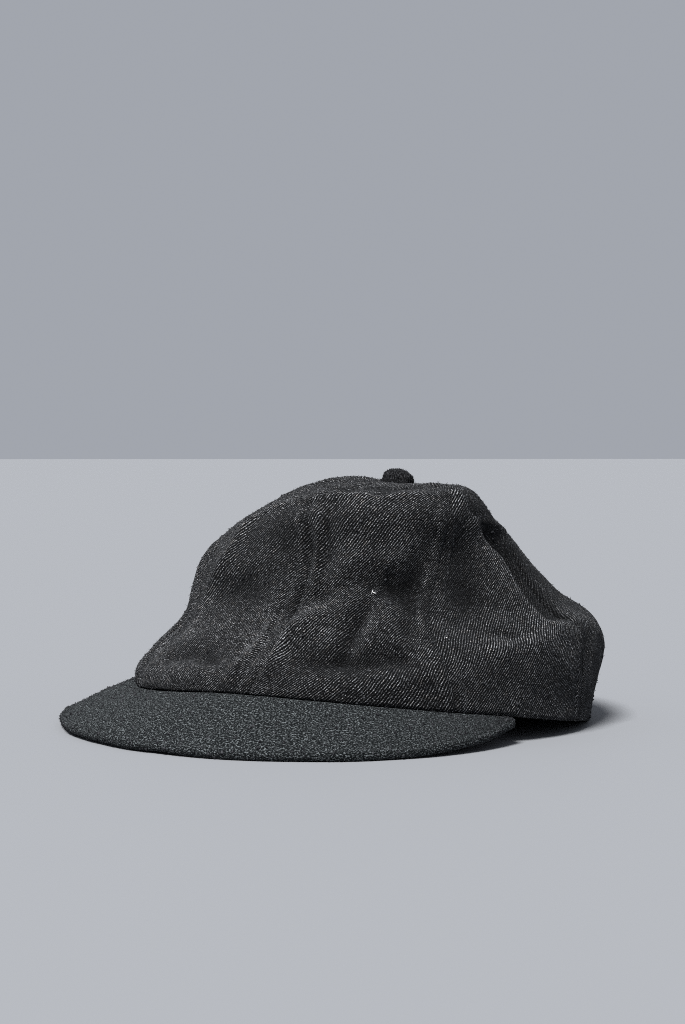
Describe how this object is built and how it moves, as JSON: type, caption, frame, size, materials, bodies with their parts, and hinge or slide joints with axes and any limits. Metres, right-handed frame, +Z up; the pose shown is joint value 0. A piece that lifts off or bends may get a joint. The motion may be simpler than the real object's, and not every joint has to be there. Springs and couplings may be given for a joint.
{
  "type": "peaked cap",
  "caption": "Soft cloth peaked cap with a panelled crown, a short curved peak and a covered button on top.",
  "frame": {"origin": "centre of the cap's bounding box, on the surface that the cap rests on", "axes": "-Y towards the tip of the peak, +X to the wearer's left, +Z up"},
  "size_m": [0.2217, 0.2364, 0.1089],
  "materials": {
    "crown_twill": "brushed dark charcoal twill with a soft nap",
    "peak_cloth": "felted dark grey cloth over a stiff peak",
    "button_cloth": "dark charcoal cloth stretched over a domed button"
  },
  "bodies": {
    "root": {"panel_front_left": "crown_twill", "panel_temple_left": "crown_twill", "panel_side_left": "crown_twill", "panel_back_left": "crown_twill", "panel_back_right": "crown_twill", "panel_side_right": "crown_twill", "panel_temple_right": "crown_twill", "panel_front_right": "crown_twill", "peak": "peak_cloth", "button": "button_cloth"}
  },
  "joints": []
}
